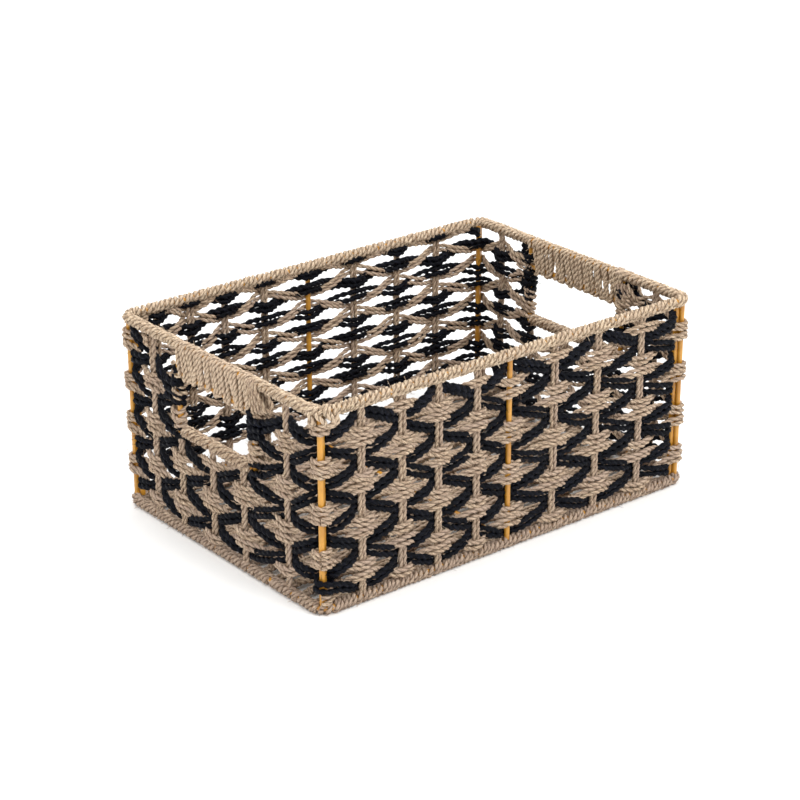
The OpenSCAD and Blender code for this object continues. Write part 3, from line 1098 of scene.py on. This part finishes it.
    def build_courses(self, natural: bpy.types.Material, black: bpy.types.Material) -> None:
        """Weaves all courses, in one piece for each colour and half of the height.

        Args:
            natural: Finish of the natural cords.
            black: Finish of the black cords.
        """
        split, lashings = self.right_opening, Lashings(self.wires, self.shop)
        halves = {
            "low": (range(split), ("left_low", "right_low")),
            "high": (range(split, self.back_top + 1), (
                "left_front", "left_back", "right_front", "right_back", "front", "back")),
        }
        for colour, grade, material, slot in (
                (Colour.NATURAL, CordGrade.WEFT, natural, "natural_seagrass"),
                (Colour.BLACK, CordGrade.DYED, black, "black_seagrass")):
            kind = colour.name.lower()
            for half, (courses, walls) in halves.items():
                strands = [s for k in courses for s in self.course(k, colour)]
                if half == "high":
                    strands += lashings.strands(colour)
                self.shop.spin(f"{kind}_courses_{half}", strands, grade, material, slot,
                               [f"{kind}_weave_{wall}" for wall in walls])

    def warp_path(self, side: Side, along: float, top: float) -> list[Strand]:
        """Two cords side by side, from the foot's wrapping to the rim or sill.

        Args:
            side: The wall.
            along: Distance from the wall's first corner.
            top: Height of the wire that they end at.

        Returns:
            The two cords.
        """
        far = self.wires.distance(side, along)
        height = np.arange(self.wires.foot_height - 1.0, top + 1.0, 3.0)
        strands = []
        for row in (-1, 1):
            lean = self.shop.drift(len(height), 0.5, 9)
            depth = self.shop.drift(len(height), 0.3, 6)
            points = self.wires.place(far + row * self.warp_half_gap + lean, depth, height)
            strands.append(Strand(points, 0.95 + 0.1 * self.shop.rng.random()))
        return strands

    def build_warps(self, material: bpy.types.Material) -> None:
        """Makes the upright cords of all walls, the short walls' middle ones up to the sill."""
        strands = []
        for side, places in self.warps.items():
            for i, place in enumerate(places):
                short = side in (Side.LEFT, Side.RIGHT) and i in (1, 2, 3)
                top = self.wires.sill_height if short else self.wires.rim_height
                strands += self.warp_path(side, self.wires.along(side, place), top)
        self.shop.spin("upright_cords", strands, CordGrade.WARP, material, "natural_seagrass",
                       [f"warps_{side.name.lower()}" for side in Side], fibre_density=6000.0)


# Rims, grips and sills --------------------------------------------------------------------


@dataclass
class Wrappings:
    """Thin cord wound closely round the rims, the grips and the sills."""

    wires: WireFrame
    shop: Workshop
    coil_pitch: float = 3.9
    point_step: float = 1.9
    lowest: float = 1.6
    grip_lean: float = 5.0
    rim_reach: float = 2.8
    grip_reach: float = 2.7
    sill_reach: float = 3.0
    core_size: float = 1.25
    core_step: float = 3.0
    # Longer loops that cross the rim's winding at the front left corner.
    corner_start: float = -10.0
    corner_end: float = 9.0
    corner_reach: float = 3.6
    corner_drop: float = 6.0

    def coil(self, start: float, end: float, height: float, reach: float,
             drop: float = 0.0) -> Strand:
        """One long winding along a wire.

        Args:
            start: Distance round the basket where it starts.
            end: Distance where it ends.
            height: Height of the wire.
            reach: Distance of the cord's middle from the wire's.
            drop: Height between two wires that it winds round together.

        Returns:
            The winding as one strand.
        """
        around = TAU * reach + 2 * drop
        turns = (end - start) / self.coil_pitch
        count = int(turns * around / self.point_step)
        way = np.linspace(0, turns, count)
        way = way + self.shop.drift(count, 0.22, 24)
        along = np.mod(way, 1.0) * around
        half = math.pi * reach
        out, rise = np.zeros(count), np.zeros(count)
        top = along < half
        angle = along[top] / reach
        out[top], rise[top] = reach * np.cos(angle), reach * np.sin(angle)
        back = (along >= half) & (along < half + drop)
        out[back], rise[back] = -reach, -(along[back] - half)
        low = (along >= half + drop) & (along < 2 * half + drop)
        angle = math.pi + (along[low] - half - drop) / reach
        out[low], rise[low] = reach * np.cos(angle), -drop + reach * np.sin(angle)
        front = along >= 2 * half + drop
        out[front], rise[front] = reach, -drop + (along[front] - 2 * half - drop)
        swell = 1 + self.shop.drift(count, 0.08, 9)
        distance = start + (end - start) * np.linspace(0, 1, count)
        distance = distance + self.shop.drift(count, 1.0, 8)
        if drop:
            fall = np.clip(-rise / drop, 0, 1)
            lean = self.grip_lean * out / reach + self.shop.drift(count, 4.0, 16)
            distance = distance + fall * lean
        rise = np.maximum(height + rise * swell, self.lowest)
        return Strand(self.wires.place(distance, out * swell, rise))

    def core(self, start: float, end: float, height: float) -> Strand:
        """The cord laid along a wire under its winding, which hides most of the wire."""
        distance = np.arange(start, end, self.core_step)
        still, level = np.zeros(len(distance)), np.full(len(distance), height)
        return Strand(self.wires.place(distance, still, level), self.core_size)

    def build(self, pale: bpy.types.Material, natural: bpy.types.Material) -> None:
        """Winds every wire that is wrapped.

        Args:
            pale: Finish of the cord on the top rim and the grips.
            natural: Finish of the cord on the foot and the sills, greyer than the rim finish as
                painted shade.
        """
        wires, wire, reach = self.wires, self.wires.wire_radius, self.rim_reach
        spots = {side: sorted(wires.post_distance(side, end) for end in (0, 1))
                 for side in (Side.RIGHT, Side.LEFT)}
        left, right = spots[Side.LEFT], spots[Side.RIGHT]
        total, rim = wires.round_length, wires.rim_height
        jobs = {
            "top_rim_winding_front": (left[1] - total, right[0], rim, reach, 0.0,
                                      "top_rim_wrap_front"),
            "top_rim_winding_back": (right[1], left[0], rim, reach, 0.0, "top_rim_wrap_back"),
            "bottom_rim_winding": (0.0, total, wires.foot_height, reach, 0.0,
                                   "bottom_rim_wrap"),
        }
        drop = rim - wires.grip_height
        for side, (start, end) in spots.items():
            name = side.name.lower()
            jobs[f"grip_winding_{name}"] = (start - 1, end + 1, rim, self.grip_reach, drop,
                                            f"grip_wrap_{name}")
            jobs[f"sill_winding_{name}"] = (start + wire, end - wire, wires.sill_height,
                                            self.sill_reach, 0.0, f"sill_wrap_{name}")
        for name, (start, end, height, reach, fall, node) in jobs.items():
            strands = [self.coil(start, end, height, reach, fall), self.core(start, end, height)]
            if name == "top_rim_winding_front":
                strands.append(self.coil(self.corner_start, self.corner_end, height,
                                         self.corner_reach, self.corner_drop))
            if fall:
                strands.append(self.core(start, end, height - fall))
            grade = CordGrade.GRIP if fall else CordGrade.WRAP
            # Painted shade: the foot and the sills get the greyer natural finish, the top rim
            # and the grips the paler rim finish.
            finish = pale if "top" in name or fall else natural
            slot = "rim_seagrass" if finish is pale else "natural_seagrass"
            self.shop.spin(name, strands, grade, finish, slot, [node], fibre_density=14000.0)


# Floor ------------------------------------------------------------------------------------


@dataclass
class Floor:
    """The woven bottom: close rows of cord over and under the floor's uprights."""

    wires: WireFrame
    shop: Workshop
    stops: tuple[float, ...]
    rows: int = 30
    pitch: float = 7.1
    height: float = 5.3
    wave: float = 3.1
    half_length: float = 154.0
    half_width: float = 103.0
    warp_half_gap: float = 1.6
    warp_size: float = 0.75
    row_step: float = 4.0
    warp_step: float = 5.0

    def build(self, material: bpy.types.Material) -> None:
        """Weaves the floor and lays its uprights.

        Args:
            material: Finish of its cords.
        """
        strands = []
        x = np.arange(-self.half_length, self.half_length + 0.1, self.row_step)
        stops = np.array([-self.half_length, *self.stops, self.half_length])
        place = np.interp(x, stops, np.arange(len(stops)))
        low = np.minimum(place.astype(int), len(stops) - 2)
        ease = 0.5 - 0.5 * np.cos(math.pi * (place - low))
        for row in range(self.rows):
            middle_y = (row - (self.rows - 1) / 2) * self.pitch
            ups = np.array([1 if (j + row) % 2 else -1 for j in range(len(stops))], float)
            wave = ups[low] * (1 - ease) + ups[low + 1] * ease
            for half in (-1, 1):
                y = middle_y + half * self.pitch / 4 + self.shop.drift(len(x), 0.5)
                z = self.height - wave * self.wave
                strands.append(Strand(np.column_stack([x, y, z])))
        y = np.arange(-self.half_width, self.half_width + 0.1, self.warp_step)
        level = np.full(len(y), self.height)
        for stop in self.stops:
            for half in (-1, 1):
                across = stop + half * self.warp_half_gap + self.shop.drift(len(y), 0.4)
                strands.append(Strand(np.column_stack([across, y, level]), self.warp_size))
        self.shop.spin("floor_weave_cords", strands, CordGrade.FLOOR, material,
                       "natural_seagrass", ["floor_weave", "floor_warps"], fibre_density=0.0)


# Stage ------------------------------------------------------------------------------------


@dataclass(frozen=True)
class Studio:
    """Pale floor, soft light and the camera."""

    azimuth: float = -129.25
    elevation: float = 22.78
    distance: float = 1.6
    target: tuple[float, float, float] = (0.0, 0.0, 0.075)
    lens: float = 103.4
    shift: tuple[float, float] = (-0.0103, -0.0075)
    nearest: float = 0.05
    floor_reach: float = 12.0
    surround: float = 0.75
    light_aim: tuple[float, float, float] = (0.0, 0.0, 0.07)

    def floor(self) -> None:
        """Lays a large pale floor."""
        mesh = bpy.data.meshes.new("studio_floor")
        reach = self.floor_reach
        mesh.from_pydata([(-reach, -reach, 0), (reach, -reach, 0), (reach, reach, 0),
                          (-reach, reach, 0)], [], [(0, 1, 2, 3)])
        obj = bpy.data.objects.new("studio_floor", mesh)
        bpy.context.scene.collection.objects.link(obj)
        paper = bpy.data.materials.new("Pale paper")
        paper.use_nodes = True
        shader = paper.node_tree.nodes["Principled BSDF"]
        shader.inputs["Base Color"].default_value = linear("#f6f6f5")
        shader.inputs["Roughness"].default_value = 0.9
        mesh.materials.append(paper)

    def lights(self) -> None:
        """Hangs soft lights over a bright surround."""
        world = bpy.data.worlds.new("studio_surround")
        world.use_nodes = True
        background = world.node_tree.nodes["Background"]
        background.inputs[0].default_value = (1.0, 1.0, 1.0, 1.0)
        background.inputs[1].default_value = self.surround
        bpy.context.scene.world = world
        for name, spot, size, power in (
                ("key", (0.5, -1.3, 1.6), 1.2, 26.0),
                ("top", (-0.2, 0.4, 1.8), 1.6, 24.0),
                ("fill", (-1.6, -0.4, 0.9), 1.2, 7.0)):
            lamp = bpy.data.lights.new(name, "AREA")
            lamp.energy, lamp.size = power, size
            obj = bpy.data.objects.new(name, lamp)
            obj.location = spot
            aim = Vector(self.light_aim) - Vector(spot)
            obj.rotation_euler = aim.to_track_quat("-Z", "Y").to_euler()
            bpy.context.scene.collection.objects.link(obj)

    def camera(self) -> None:
        """Sets up the camera."""
        data = bpy.data.cameras.new("camera")
        data.lens, data.sensor_width = self.lens, 36.0
        data.shift_x, data.shift_y = self.shift
        data.dof.use_dof = False
        data.clip_start = self.nearest
        azimuth, elevation = math.radians(self.azimuth), math.radians(self.elevation)
        away = Vector((math.cos(elevation) * math.cos(azimuth),
                       math.cos(elevation) * math.sin(azimuth), math.sin(elevation)))
        obj = bpy.data.objects.new("camera", data)
        obj.location = Vector(self.target) + away * self.distance
        obj.rotation_euler = (-away).to_track_quat("-Z", "Y").to_euler()
        bpy.context.scene.collection.objects.link(obj)
        bpy.context.scene.camera = obj


def set_film() -> None:
    """Shows colours as they are, with a plain display curve."""
    bpy.context.scene.view_settings.view_transform = "Standard"


def paint_wires(material: bpy.types.Material) -> None:
    """Gives every wire of the frame its lacquer.

    Args:
        material: The lacquer.
    """
    for name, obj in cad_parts.items():
        if "wire" in name or "post" in name:
            obj.data.materials.clear()
            obj.data.materials.append(material)
            log.info("%s: lacquered", name)


def main() -> None:
    """Builds the basket's pieces in order."""
    logging.basicConfig(level=logging.INFO, format="%(message)s")
    set_film()
    studio = Studio()
    studio.camera()
    studio.lights()
    studio.floor()
    wires = WireFrame()
    shop = Workshop(np.random.default_rng(11))
    natural, rim, black = NATURAL.material(), RIM.material(), BLACK.material()
    paint_wires(LacquerFinish().material())
    walls = Walls(wires, shop)
    walls.build_warps(natural)
    walls.build_courses(natural, black)
    Wrappings(wires, shop).build(rim, natural)
    Floor(wires, shop, tuple(sorted(walls.front_warps + (wires.middle_post,)))).build(natural)


if __name__ == "__main__":
    main()
